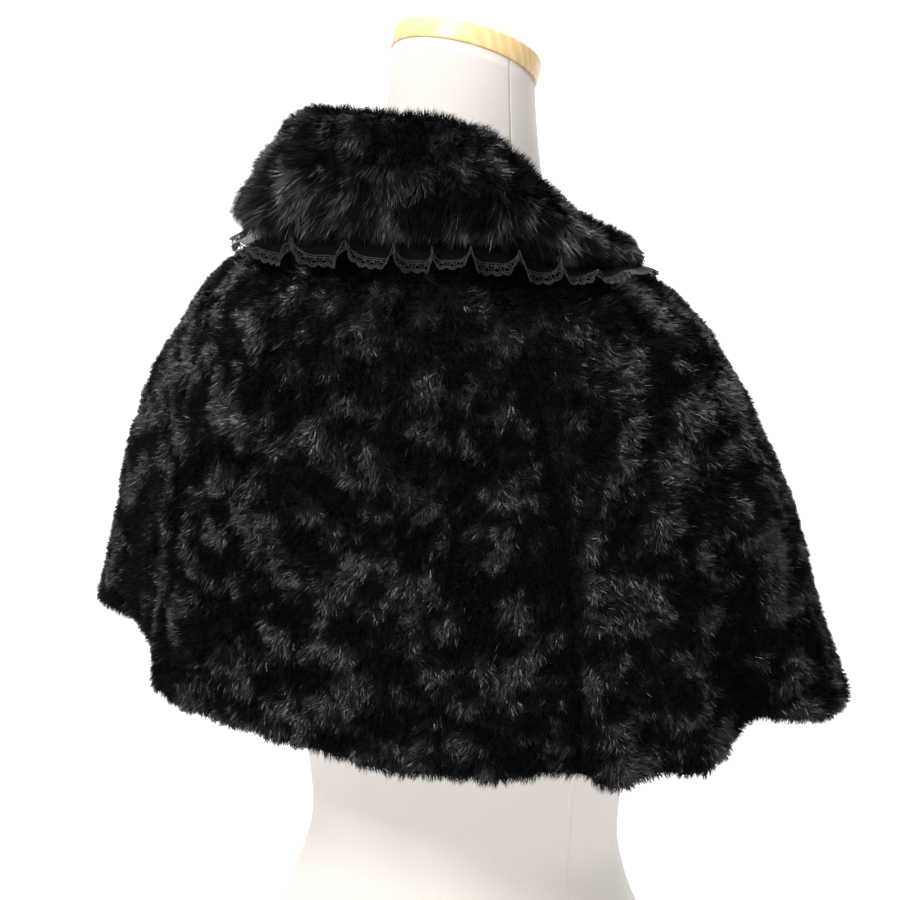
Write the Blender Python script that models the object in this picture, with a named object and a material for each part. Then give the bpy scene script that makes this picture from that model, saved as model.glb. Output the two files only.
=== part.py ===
"""A fur cape with a turned-down collar and a lace-edged ruffle, on a limbless dress form.

Metres, +Z up. The wearer's front is -Y and the wearer's left is +X. The form stands on z = 0.
Angles run round the neck from the middle of the back, positive towards the wearer's right.
"""

import math

import bmesh
import bpy
import numpy as np
from mathutils.bvhtree import BVHTree

# ---- driving sizes -------------------------------------------------------------------------
CAPE_WALL = 0.011  # backing cloth and pile together
NECK_WALL = 0.008  # the same where the collar presses it down
COLLAR_WALL = 0.011
NET_WALL = 0.0012
SEAM_GAP = 0.0003
SIDE_SEAM = 40.0  # degrees from the middle of the back
FRONT_EDGE = 179.8
BACK_SET = 0.032  # how far the shoulders sit behind the middle of the hem
COLLAR_END = 167.0
CAP_TILT = 33.0  # degrees that the neck plate leans forward
NECK_LEAN = 0.38
CAP_RADIUS = 0.0447
CAP_DEPTH = 0.0135
CAP_CENTRE = (0.0, 0.0, 0.7035)

# Form: height, half width, back reach, front reach
FORM_COLUMNS = ("z", "half_x", "back", "front")
FORM = [
    (0.000, 0.148, 0.102, 0.104),
    (0.040, 0.150, 0.105, 0.105),
    (0.090, 0.146, 0.103, 0.102),
    (0.145, 0.126, 0.089, 0.092),
    (0.185, 0.109, 0.077, 0.084),
    (0.215, 0.103, 0.073, 0.082),
    (0.250, 0.105, 0.076, 0.086),
    (0.300, 0.114, 0.084, 0.097),
    (0.350, 0.126, 0.092, 0.112),
    (0.395, 0.135, 0.098, 0.122),
    (0.440, 0.143, 0.102, 0.118),
    (0.485, 0.151, 0.105, 0.103),
    (0.515, 0.155, 0.106, 0.086),
    (0.537, 0.151, 0.105, 0.073),
    (0.551, 0.142, 0.103, 0.064),
    (0.562, 0.126, 0.098, 0.057),
    (0.571, 0.1042, 0.0905, 0.0505),
    (0.579, 0.0810, 0.081, 0.0456),
    (0.589, 0.0635, 0.070, 0.0418),
    (0.602, 0.0555, 0.062, 0.0396),
]

# Cape, outer face: half width and height at the side, reach and height at back and at front
CAPE_COLUMNS = ("side_x", "side_z", "back_y", "back_z", "front_y", "front_z", "square")
CAPE = [
    (0.072, 0.604, 0.082, 0.624, 0.058, 0.570, 2.0),
    (0.104, 0.600, 0.108, 0.615, 0.084, 0.556, 2.0),
    (0.132, 0.592, 0.126, 0.602, 0.104, 0.532, 2.0),
    (0.154, 0.574, 0.140, 0.577, 0.121, 0.500, 2.0),
    (0.177, 0.541, 0.149, 0.537, 0.133, 0.468, 2.0),
    (0.199, 0.503, 0.156, 0.488, 0.142, 0.440, 2.0),
    (0.217, 0.458, 0.162, 0.441, 0.149, 0.412, 2.05),
    (0.228, 0.408, 0.167, 0.396, 0.154, 0.385, 2.1),
    (0.238, 0.369, 0.171, 0.364, 0.158, 0.358, 2.1),
    (0.246, 0.340, 0.174, 0.330, 0.161, 0.333, 2.1),
]

# Folds that hang from the shoulders: angle, half width in degrees, reach at the hem, start
FOLD_COLUMNS = ("angle", "spread", "reach", "start")
FOLDS = [
    (-172.0, 9.0, 0.006, 0.35),
    (-155.0, 9.0, -0.010, 0.35),
    (-138.0, 11.0, 0.010, 0.35),
    (-114.0, 10.0, -0.012, 0.40),
    (-84.0, 12.0, 0.014, 0.20),
    (-59.0, 10.0, -0.024, 0.25),
    (-49.0, 4.0, -0.010, 0.35),
    (-40.0, 5.0, 0.002, 0.30),
    (-14.0, 12.0, -0.003, 0.45),
    (12.0, 13.0, 0.002, 0.45),
    (37.0, 4.0, -0.005, 0.30),
    (45.0, 5.0, 0.007, 0.30),
    (50.5, 3.5, -0.003, 0.50),
    (56.0, 5.0, 0.006, 0.40),
    (72.0, 8.5, -0.021, 0.40),
    (100.0, 12.0, 0.006, 0.35),
    (121.0, 10.0, -0.012, 0.40),
    (140.0, 11.0, 0.010, 0.35),
    (157.0, 9.0, -0.010, 0.35),
    (172.0, 8.0, 0.006, 0.35),
]

# How far the cloth below the shoulders has swung round towards the middle of the back
SWING_COLUMNS = ("angle", "spread", "shift")
SWINGS = [(-42.0, 18.0, 8.0), (40.0, 22.0, -4.5)]

# Collar round the neck centre: fold crest and lower edge, as reach and height, and fold radius
COLLAR_COLUMNS = ("angle", "crest_r", "crest_z", "edge_r", "edge_z", "fold")
COLLAR = [
    (-168.0, 0.081, 0.607, 0.108, 0.570, 0.0075),
    (-150.0, 0.082, 0.620, 0.114, 0.584, 0.0080),
    (-120.0, 0.082, 0.646, 0.120, 0.598, 0.0090),
    (-90.0, 0.083, 0.666, 0.124, 0.611, 0.0095),
    (-60.0, 0.083, 0.681, 0.126, 0.615, 0.0095),
    (-30.0, 0.080, 0.694, 0.120, 0.622, 0.0095),
    (0.0, 0.079, 0.698, 0.112, 0.629, 0.0095),
    (30.0, 0.076, 0.693, 0.112, 0.630, 0.0095),
    (60.0, 0.077, 0.661, 0.114, 0.616, 0.0090),
    (90.0, 0.077, 0.628, 0.112, 0.602, 0.0070),
    (120.0, 0.078, 0.611, 0.109, 0.586, 0.0064),
    (150.0, 0.078, 0.598, 0.104, 0.574, 0.0064),
    (168.0, 0.076, 0.592, 0.100, 0.566, 0.0064),
]

# Where the ruffle touches the fur, in degrees round the neck
RUFFLE_LOWS = [
    -172.3, -158.3, -142.3, -130.3, -116.3, -101.3, -88.3, -72.3, -58.3, -46.3, -31.3, -12.8,
    3.8, 16.2, 25.0, 36.8, 51.1, 61.0, 74.1, 91.5, 105.5, 120.5, 136.5, 151.5, 167.5,
]

NECK_CENTRE_Y = 0.010
RUFFLE_END = 163.0
RUFFLE_STEP = 1.75  # degrees from section to section
RUFFLE_IN = 0.014  # how far the net reaches in under the collar's edge
RUFFLE_OUT = 0.0035
RUFFLE_HIGH = 0.012  # how far a wave's crest stands off the fur
LACE_WIDE = 0.006
UNDER_COLLAR = 0.0045  # room between the collar and the cape, where the net is tucked

COLLECTION = "fur_cape_on_dress_form"


# ---- helpers -------------------------------------------------------------------------------
def smooth_table(rows, at):
    """Each column of the table read at the places `at`, by a monotone cubic in its first column."""
    rows = np.asarray(rows, float)
    x = rows[:, 0]
    step = np.diff(x)
    out = []
    for column in rows[:, 1:].T:
        slope = np.diff(column) / step
        tangent = np.zeros(len(x))
        tangent[0] = slope[0]
        tangent[-1] = slope[-1]
        for i in range(1, len(x) - 1):
            if slope[i - 1] * slope[i] > 0:
                w1 = 2 * step[i] + step[i - 1]
                w2 = step[i] + 2 * step[i - 1]
                tangent[i] = (w1 + w2) / (w1 / slope[i - 1] + w2 / slope[i])
        k = np.clip(np.searchsorted(x, at) - 1, 0, len(step) - 1)
        t = (at - x[k]) / step[k]
        h = step[k]
        out.append(
            column[k] * (1 + 2 * t) * (1 - t) ** 2
            + h * tangent[k] * t * (1 - t) ** 2
            + column[k + 1] * t**2 * (3 - 2 * t)
            + h * tangent[k + 1] * t**2 * (t - 1)
        )
    return out


def material(name, colour, roughness):
    made = bpy.data.materials.new(name)
    made.use_nodes = True
    shader = made.node_tree.nodes["Principled BSDF"]
    shader.inputs["Base Color"].default_value = (*colour, 1.0)
    shader.inputs["Roughness"].default_value = roughness
    shader.inputs["Metallic"].default_value = 0.0
    made.diffuse_color = (*colour, 1.0)
    return made


def add_object(name, points, faces, surface):
    mesh = bpy.data.meshes.new(name)
    mesh.from_pydata([tuple(p) for p in points], [], faces)
    work = bmesh.new()
    work.from_mesh(mesh)
    bmesh.ops.triangulate(work, faces=work.faces)
    bmesh.ops.recalc_face_normals(work, faces=work.faces)
    work.to_mesh(mesh)
    work.free()
    mesh.materials.append(surface)
    made = bpy.data.objects.new(name, mesh)
    bpy.data.collections[COLLECTION].objects.link(made)
    return made


def loft(name, sections, surface):
    """A solid from like closed sections, each an (n, 3) array, with a flat face on each end."""
    count = len(sections[0])
    points = np.concatenate(sections)
    faces = []
    for k in range(len(sections) - 1):
        a = k * count
        b = a + count
        for i in range(count):
            j = (i + 1) % count
            faces.append((a + i, a + j, b + j, b + i))
    faces.append(tuple(range(count - 1, -1, -1)))
    last = (len(sections) - 1) * count
    faces.append(tuple(range(last, last + count)))
    return add_object(name, points, faces, surface)


def strip_solid(name, sections, surface, pairs):
    """A solid from like closed loops of a wall. `pairs` matches each loop's two long sides."""
    count = len(sections[0])
    points = np.concatenate(sections)
    faces = []
    for k in range(len(sections) - 1):
        a = k * count
        b = a + count
        for i in range(count):
            j = (i + 1) % count
            faces.append((a + i, a + j, b + j, b + i))
    last = (len(sections) - 1) * count
    for (a, b), (c, d) in zip(pairs[:-1], pairs[1:]):
        end = [a, c, d, b]
        faces.append(tuple(end[::-1]))
        faces.append(tuple(last + i for i in end))
    return add_object(name, points, faces, surface)


# ---- cape surface --------------------------------------------------------------------------
def cape_face(angles, rows):
    """Outer face of the cape as a grid [angle, row, xyz]. `rows` run from 0, neck, to 1, hem."""
    table = [(i / (len(CAPE) - 1), *row) for i, row in enumerate(CAPE)]
    side_x, side_z, back_y, back_z, front_y, front_z, square = smooth_table(table, rows)
    degrees = np.asarray(angles, float)[:, None] + np.zeros(len(rows))
    for angle, spread, shift in SWINGS:
        share = np.clip((rows - 0.15) / 0.85, 0, 1)
        degrees = degrees + shift * share * np.exp(-(((degrees - angle) / spread) ** 2))
    turn = np.radians(degrees)
    sin = np.sin(turn)
    cos = np.cos(turn)
    bulge = (np.abs(sin) ** square + np.abs(cos) ** square) ** (-1 / square)
    reach = np.where(cos > 0, back_y, front_y)
    weight = cos**2
    end_z = np.where(cos > 0, back_z, front_z)
    centre = BACK_SET * (1 - rows**2)
    x = -side_x * sin * bulge
    y = centre + (reach - np.sign(cos) * centre) * cos * bulge
    z = side_z * (1 - weight) + end_z * weight
    push = np.zeros_like(x)
    for angle, spread, size, start in FOLDS:
        away = (np.asarray(angles)[:, None] - angle) / spread
        ramp = np.clip((rows - start) / (1 - start), 0, 1)
        push += size * np.exp(-(away**2)) * ramp**1.3
    away = np.hypot(x, y * 1.3)
    x = x + push * x / away
    y = y + push * y * 1.3 / away
    hem = np.clip((rows - 0.7) / 0.3, 0, 1) ** 2
    z = z - 0.35 * push * hem
    return np.stack([x, y, z], axis=2)


def face_normals(grid, before=None, after=None):
    """Unit normals of a grid. Faces just before and after each angle make them alike on a seam."""
    along = np.gradient(grid, axis=0) if before is None else after - before
    down = np.gradient(grid, axis=1)
    normal = np.cross(down, along)
    normal /= np.linalg.norm(normal, axis=2, keepdims=True)
    return normal


class CapeTop:
    """The cape's upper face, for laying the collar and the ruffle on it."""

    def __init__(self):
        grid = cape_face(np.linspace(-180, 180, 181), np.linspace(0, 0.6, 61))
        count = grid.shape[1]
        faces = []
        for i in range(grid.shape[0] - 1):
            for k in range(count - 1):
                a = i * count + k
                faces.append((a, a + 1, a + count + 1, a + count))
        self.tree = BVHTree.FromPolygons([tuple(p) for p in grid.reshape(-1, 3)], faces)

    def height(self, x, y):
        hit = self.tree.ray_cast((x, y, 1.0), (0, 0, -1))
        return None if hit[0] is None else hit[0].z


def panel_angles(start, end, step):
    count = max(2, round((end - start) / step))
    return np.linspace(start, end, count + 1)


def cape_panel(name, start, end, surface):
    """One panel of the cape: fur side, rounded hem, inner side and neck edge, from angle to angle."""
    angles = panel_angles(start, end, 3.6)
    rows = np.linspace(0, 1, 19)
    grid = cape_face(angles, rows)
    normal = face_normals(grid, cape_face(angles - 1.5, rows), cape_face(angles + 1.5, rows))
    hem = grid[:, -1] - grid[:, -2]
    hem /= np.linalg.norm(hem, axis=1, keepdims=True)
    ease = np.clip(rows / 0.25, 0, 1) ** 2
    wall = (NECK_WALL + (CAPE_WALL - NECK_WALL) * ease)[:, None]
    sections = []
    for i in range(len(angles)):
        outer = grid[i]
        inner = outer - normal[i] * wall
        mid = (outer[-1] + inner[-1]) / 2
        round_hem = [
            mid + normal[i][-1] * CAPE_WALL * 0.36 + hem[i] * CAPE_WALL * 0.33,
            mid - normal[i][-1] * CAPE_WALL * 0.36 + hem[i] * CAPE_WALL * 0.33,
        ]
        sections.append(np.concatenate([outer, round_hem, inner[::-1]]))
    count = len(rows)
    pairs = [(k, 2 * count + 1 - k) for k in range(count + 1)]
    return strip_solid(name, sections, surface, pairs)


# ---- collar --------------------------------------------------------------------------------
def neck_edge(angle):
    """Reach and height of the cape's neck edge in one direction from the neck centre."""
    edge = cape_face(np.linspace(-180, 180, 361), np.array([0.0]))[:, 0]
    turn = np.degrees(np.arctan2(-edge[:, 0], edge[:, 1] - NECK_CENTRE_Y))
    reach = np.hypot(edge[:, 0], edge[:, 1] - NECK_CENTRE_Y)
    order = np.argsort(turn)
    turn, reach, height = turn[order], reach[order], edge[order, 2]
    return np.interp(angle, turn, reach), np.interp(angle, turn, height)


def collar_path(angle):
    """Middle line of the folded collar at one angle, as (reach, height) from seam to lower edge."""
    crest_r, crest_z, edge_r, edge_z, fold = (
        float(v[0]) for v in smooth_table(COLLAR, np.array([angle]))
    )
    neck_r, neck_z = neck_edge(angle)
    half = COLLAR_WALL / 2
    seam_r = neck_r + half - 0.001
    seam_z = neck_z + 0.0016
    top_z = crest_z - half
    middle = (crest_r + fold - 0.004, top_z - fold)
    path = [(seam_r, seam_z), ((seam_r + middle[0] - fold) / 2, (seam_z + middle[1]) / 2)]
    for turn in (165, 125, 90, 55, 25):
        t = math.radians(turn)
        path.append((middle[0] + fold * math.cos(t), middle[1] + fold * math.sin(t)))
    start = np.array(path[-1])
    end = np.array([edge_r, edge_z])
    out = np.array([0.003, 0.002])
    for t in (0.25, 0.5, 0.75, 1.0):
        path.append(tuple(start * (1 - t) + end * t + out * math.sin(math.pi * t) * 0.8))
    return np.array(path)


def wall_loop(path, wall, taper_end=0.75):
    """Both sides of a wall along a path of (reach, height), with round ends."""
    along = np.gradient(path, axis=0)
    along /= np.linalg.norm(along, axis=1, keepdims=True)
    side = np.stack([-along[:, 1], along[:, 0]], axis=1)
    half = np.full(len(path), wall / 2)
    half[-1] *= taper_end
    left = path + side * half[:, None]
    right = path - side * half[:, None]
    tip = path[-1] + along[-1] * wall * 0.35
    ends = [tip + side[-1] * wall * 0.18, tip - side[-1] * wall * 0.18]
    return np.concatenate([left, ends, right[::-1]])


def ring_point(angle, reach, height):
    t = math.radians(angle)
    return (-reach * math.sin(t), NECK_CENTRE_Y + reach * math.cos(t), height)


def lifted_path(angle, cape_top):
    """The collar's middle line, raised where it must be to leave room for the ruffle under it."""
    path = collar_path(angle)
    need = COLLAR_WALL / 2 + UNDER_COLLAR
    lift = np.zeros(len(path))
    for k in range(4, len(path)):
        x, y, z = ring_point(angle, path[k, 0], path[k, 1])
        cape_z = cape_top.height(x, y)
        if cape_z is not None:
            lift[k] = max(0.0, cape_z + need - z)
    lift[4:] = np.maximum.accumulate(lift[4:][::-1])[::-1]
    path[:, 1] += lift
    return path


def collar(surface, cape_top):
    angles = panel_angles(-COLLAR_END, COLLAR_END, 5.2)
    sections = []
    for angle in angles:
        path = lifted_path(angle, cape_top)
        near_end = min(1.0, (COLLAR_END - abs(angle)) / 12.0)
        shorter = 0.35 * (1 - math.sqrt(1 - (1 - near_end) ** 2))
        # The fall's corner is rounded: near each front end the lower edge draws up to the fold.
        fold = path[8]
        path[9:] = fold + (path[9:] - fold) * (1 - shorter)
        loop = wall_loop(path, COLLAR_WALL)
        sections.append(np.array([ring_point(angle, r, z) for r, z in loop]))
    count = len(collar_path(0.0))
    pairs = [(k, 2 * count + 1 - k) for k in range(count + 1)]
    return strip_solid("collar", sections, surface, pairs)


# ---- ruffle --------------------------------------------------------------------------------
def ruffle_wave(angle):
    """0 where the net lies on the fur and 1 where it stands off, and which way it leans."""
    turn = np.interp(angle, RUFFLE_LOWS, np.arange(len(RUFFLE_LOWS)))
    size = 0.75 + 0.25 * math.sin(angle * 0.11 + 1.0)
    return size * (0.5 - 0.5 * math.cos(2 * math.pi * turn)), math.sin(2 * math.pi * turn)


def ruffle_grid(angles, places, cape_top):
    """Middle face of the ruffle. `places` are metres out from the collar's lower edge."""
    out = np.zeros((len(angles), len(places), 3))
    for i, angle in enumerate(angles):
        path = lifted_path(angle, cape_top)
        edge_r = path[-1, 0]
        below = path[-1, 1] - COLLAR_WALL * 0.5
        x, y, _ = ring_point(angle, edge_r, 0)
        room = below - cape_top.height(x, y)
        wave, lean = ruffle_wave(angle)
        # Places are measured along the fur, which falls away more steeply at the back.
        reaches = edge_r + np.linspace(-0.02, 0.02, 21)
        heights = [cape_top.height(*ring_point(angle, r, 0)[:2]) for r in reaches]
        steps = np.hypot(np.diff(reaches), np.diff(heights))
        length = np.concatenate([[0], np.cumsum(steps)])
        length -= np.interp(edge_r, reaches, length)
        tucked = max(0.5 * room, room - 0.003)
        standing = 0.0030 + 0.5 * max(0.0, room - 0.005) + RUFFLE_HIGH * wave
        for k, place in enumerate(places):
            share = max(0.0, (place + RUFFLE_IN) / (RUFFLE_IN + RUFFLE_OUT + LACE_WIDE))
            free = min(1.0, max(0.0, (place + 0.001) / 0.0105))
            reach = np.interp(place + 0.002 * (1 - wave) * share * free, length, reaches)
            turn = angle + math.degrees(0.0035 * lean * share * free / reach)
            x, y, _ = ring_point(turn, reach, 0)
            lift = tucked * (1 - free) + standing * free
            out[i, k] = (x, y, cape_top.height(x, y) + lift)
    return out


def thin_strip(name, angles, places, cape_top, surface):
    """A closed thin wall round part of the ruffle's middle face."""
    step, turn = 0.0006, 0.5
    grid = ruffle_grid(angles, places, cape_top)
    down = ruffle_grid(angles, places + step, cape_top) - ruffle_grid(angles, places, cape_top)
    along = ruffle_grid(angles + turn, places, cape_top)
    along -= ruffle_grid(angles - turn, places, cape_top)
    normal = np.cross(down, along)
    normal /= np.linalg.norm(normal, axis=2, keepdims=True)
    half = NET_WALL / 2
    sections = []
    for i in range(len(grid)):
        top = grid[i] + normal[i] * half
        under = grid[i] - normal[i] * half
        sections.append(np.concatenate([top, under[::-1]]))
    count = grid.shape[1]
    pairs = [(k, 2 * count - 1 - k) for k in range(count)]
    return strip_solid(name, sections, surface, pairs)


def ruffle(net, lace, cape_top):
    angles = panel_angles(-RUFFLE_END, RUFFLE_END, RUFFLE_STEP)
    net_places = np.array([-RUFFLE_IN, -0.002, RUFFLE_OUT - 0.0005])
    lace_places = np.array([RUFFLE_OUT, RUFFLE_OUT + LACE_WIDE])
    thin_strip("collar_ruffle", angles, net_places, cape_top, net)
    thin_strip("ruffle_lace_edge", angles, lace_places, cape_top, lace)


# ---- dress form ----------------------------------------------------------------------------
def cap_ring(offset, radius, count):
    """Ring of the tilted neck plate, `offset` up along the plate's own axis."""
    tilt = math.radians(CAP_TILT)
    axis = np.array([0.0, -math.sin(tilt), math.cos(tilt)])
    across = np.array([0.0, math.cos(tilt), math.sin(tilt)])
    centre = np.array(CAP_CENTRE) + axis * offset
    turn = np.linspace(0, 2 * math.pi, count, endpoint=False)
    side = np.array([-1.0, 0.0, 0.0])
    return np.array(
        [centre + radius * (math.sin(t) * side + math.cos(t) * across) for t in turn]
    )


def form_torso(surface):
    count = 40
    low = [0, 0.03, 0.06, 0.09, 0.115, 0.14, 0.165, 0.19, 0.215, 0.245, 0.28, 0.32, 0.36]
    high = [0.40, 0.44, 0.475, 0.505, 0.525, 0.54, 0.552, 0.562, 0.571, 0.579, 0.589, 0.602]
    heights = np.array(low + high)
    half_x, back, front = smooth_table(FORM, heights)
    turn = np.linspace(0, 2 * math.pi, count, endpoint=False)
    sections = []
    for z, a, yb, yf in zip(heights, half_x, back, front):
        lean = min(1.0, max(0.0, (z - 0.545) / 0.06))
        y = np.where(np.cos(turn) > 0, yb, yf) * np.cos(turn)
        tip = lean * NECK_LEAN * y
        sections.append(np.stack([-a * np.sin(turn), y, z + tip], axis=1))
    base = sections[-1]
    top = cap_ring(-SEAM_GAP, CAP_RADIUS - 0.0012, count)
    for t in (0.16, 0.34, 0.54, 0.77, 1.0):
        # The neck narrows quickly above the shoulders, then runs straight to the plate.
        ease = 1 - (1 - t) ** 1.35
        ring = base * (1 - t) + top * t
        centre = base.mean(axis=0) * (1 - t) + top.mean(axis=0) * t
        round_base = base - base.mean(axis=0)
        round_top = top - top.mean(axis=0)
        ring = centre + round_base * (1 - ease) + round_top * ease
        sections.append(ring)
    return loft("form_torso", sections, surface)


def form_cap(surface):
    count = 40
    edge = 0.0018
    sections = [
        cap_ring(0.0, CAP_RADIUS - edge * 0.5, count),
        cap_ring(edge * 0.5, CAP_RADIUS, count),
        cap_ring(CAP_DEPTH - edge, CAP_RADIUS, count),
        cap_ring(CAP_DEPTH, CAP_RADIUS - edge, count),
    ]
    return loft("form_neck_cap", sections, surface)


# ---- build ---------------------------------------------------------------------------------
def main():
    for old in list(bpy.data.objects):
        bpy.data.objects.remove(old, do_unlink=True)
    made = bpy.data.collections.new(COLLECTION)
    bpy.context.scene.collection.children.link(made)

    cloth = material("form_cloth", (0.82, 0.79, 0.75), 0.85)
    wood = material("pale_wood", (0.78, 0.58, 0.32), 0.45)
    form_torso(cloth)
    form_cap(wood)

    gap = math.degrees(SEAM_GAP / 0.2)
    back_fur = material("fur_back", (0.010, 0.010, 0.012), 0.6)
    left_fur = material("fur_front_left", (0.011, 0.010, 0.012), 0.6)
    right_fur = material("fur_front_right", (0.010, 0.011, 0.012), 0.6)
    cape_panel("cape_back", -SIDE_SEAM + gap, SIDE_SEAM - gap, back_fur)
    cape_panel("cape_front_left", -FRONT_EDGE, -SIDE_SEAM - gap, left_fur)
    cape_panel("cape_front_right", SIDE_SEAM + gap, FRONT_EDGE, right_fur)

    cape_top = CapeTop()
    collar(material("fur_collar", (0.012, 0.011, 0.013), 0.6), cape_top)
    ruffle(
        material("ruffle_net", (0.015, 0.015, 0.016), 0.7),
        material("lace_edging", (0.020, 0.020, 0.021), 0.7),
        cape_top,
    )


main()
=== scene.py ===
"""Fur cape on a dress form: the looks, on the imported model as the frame.

Metres, +Z up. The wearer's front is -Y and the wearer's left is +X. The form stands on z = 0.
Angles run round the neck from the middle of the back, positive towards the wearer's right.
"""

import math

import bpy
import numpy as np
from mathutils import Matrix, Vector
from mathutils.bvhtree import BVHTree
from mathutils.kdtree import KDTree


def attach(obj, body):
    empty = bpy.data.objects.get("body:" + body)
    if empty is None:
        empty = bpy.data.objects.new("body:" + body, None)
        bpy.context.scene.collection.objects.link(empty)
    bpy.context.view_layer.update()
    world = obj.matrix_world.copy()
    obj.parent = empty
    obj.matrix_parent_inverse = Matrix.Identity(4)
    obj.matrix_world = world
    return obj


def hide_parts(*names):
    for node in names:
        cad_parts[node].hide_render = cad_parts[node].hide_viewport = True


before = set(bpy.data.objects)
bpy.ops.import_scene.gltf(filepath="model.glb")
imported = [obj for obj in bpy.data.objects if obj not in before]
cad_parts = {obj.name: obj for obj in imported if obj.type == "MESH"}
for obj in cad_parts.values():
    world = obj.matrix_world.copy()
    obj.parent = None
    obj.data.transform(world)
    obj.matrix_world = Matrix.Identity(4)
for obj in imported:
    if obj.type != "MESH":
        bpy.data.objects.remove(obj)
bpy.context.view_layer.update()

# ---- the shape's sizes ----
# As in the CAD, apart from those with a remark that says how the scene differs.
CAPE_WALL = 0.011
NECK_WALL = 0.008
COLLAR_WALL = 0.011
SEAM_GAP = 0.0003
SIDE_SEAM = 40.0
CLOSED_SEAM = math.degrees(0.00002 / 0.2)  # the pile closes the gap that the solids keep
FRONT_CLOSED = 179.97  # the fronts' pile meets, where the solids stay a little apart
AHEAD_FROM, AHEAD_OVER = 174.0, 5.97  # where the skin turns to face straight ahead
BACK_SET = 0.032
COLLAR_END = 167.0
CAP_TILT = 33.0
NECK_LEAN = 0.38
CAP_RADIUS = 0.0447
CAP_DEPTH = 0.0135
CAP_CENTRE = (0.0, 0.0, 0.7035)
NECK_CENTRE_Y = 0.010
SHOULDER_SINK = 0.0035  # only here: how far the soft fall sinks over the wearer's right shoulder
SINK_AT, SINK_WIDE = 92.0, 24.0
SHOULDERS = [(-72.0, 25.0, 0.0030), (112.0, 18.0, -0.0030)]  # where the pile is thinner or fuller
HEM_TURNED = 2  # rows of fur that go up the inside of the hem
COLLAR_TURNED = 5  # the same under the collar's edge
RUFFLE_END = 163.0
RUFFLE_IN = 0.014
RUFFLE_OUT = 0.0055  # 2 mm further than in the CAD
HINGE = 0.0008  # where the net leaves the collar
STAND_UP = 1.15  # slope of the net on a wave's crest
NET_ROOM = 0.0013  # from the net to the collar's underside
NET_FLOATS = 0.0015  # how high the net lies over the fur
SWING = 0.0040  # how far a wave leans along the collar
LACE_WIDE = 0.0076  # wider than in the CAD, as the photo shows it
NET_CELL = 0.0010
# The lace, out from the net: a repeat's length, the cords, the rings' centres and radii, and the
# scallops' start, depth and second cord
LACE_REPEAT = 0.0046
LACE_CORDS = (0.0004, 0.0017)
LACE_RINGS = ((0.0042, 0.00135), (0.0020, 0.00075))
SCALLOP_FROM, SCALLOP_DEEP, SCALLOP_CORD = 0.0056, 0.0018, 0.0009
CORD_RADIUS, BAR_RADIUS, CORD_FLAT = 0.00036, 0.00028, 0.8
UNDER_COLLAR = 0.0045
SEAM_ANGLES = (62.0, 122.0, 180.0, 238.0, 298.0)  # of the form's cover
SEAM_WIDE, SEAM_DEEP = 0.45, 0.0007
LEAN_FROM, LEAN_OVER = 0.545, 0.06  # heights where the neck starts to lean
PANEL_STEP, PANEL_ROWS, LAST_ROW = 1.3, 85, 0.992  # a cape panel's grid
COLLAR_ROWS, COLLAR_KEPT = 46, 43  # the skin stops early, so that the hairs' tips reach the edge
UNDERSIDE = 0.0018  # how much lower than the solid's the collar's underside is
CREST, MID_FALL = 4, 8  # places along the collar's middle line

# Form: height, half width, back reach, front reach
FORM = [
    (0.000, 0.148, 0.102, 0.104),
    (0.040, 0.150, 0.105, 0.105),
    (0.090, 0.146, 0.103, 0.102),
    (0.145, 0.126, 0.089, 0.092),
    (0.185, 0.109, 0.077, 0.084),
    (0.215, 0.103, 0.073, 0.082),
    (0.250, 0.105, 0.076, 0.086),
    (0.300, 0.114, 0.084, 0.097),
    (0.350, 0.126, 0.092, 0.112),
    (0.395, 0.135, 0.098, 0.122),
    (0.440, 0.143, 0.102, 0.118),
    (0.485, 0.151, 0.105, 0.103),
    (0.515, 0.155, 0.106, 0.086),
    (0.537, 0.151, 0.105, 0.073),
    (0.551, 0.142, 0.103, 0.064),
    (0.562, 0.126, 0.098, 0.057),
    (0.571, 0.1042, 0.0905, 0.0505),
    (0.579, 0.0810, 0.081, 0.0456),
    (0.589, 0.0635, 0.070, 0.0418),
    (0.602, 0.0555, 0.062, 0.0396),
]

# Cape, outer face: half width and height at the side, reach and height at the back and at the
# front, and how square the outline is
CAPE = [
    (0.072, 0.604, 0.082, 0.624, 0.058, 0.570, 2.0),
    (0.104, 0.600, 0.108, 0.615, 0.084, 0.556, 2.0),
    (0.132, 0.592, 0.126, 0.602, 0.104, 0.532, 2.0),
    (0.154, 0.574, 0.140, 0.577, 0.121, 0.500, 2.0),
    (0.177, 0.541, 0.149, 0.537, 0.133, 0.468, 2.0),
    (0.199, 0.503, 0.156, 0.488, 0.142, 0.440, 2.0),
    (0.217, 0.458, 0.162, 0.441, 0.149, 0.412, 2.05),
    (0.228, 0.408, 0.167, 0.396, 0.154, 0.385, 2.1),
    (0.238, 0.369, 0.171, 0.364, 0.158, 0.358, 2.1),
    (0.246, 0.340, 0.174, 0.330, 0.161, 0.333, 2.1),
]

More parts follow.
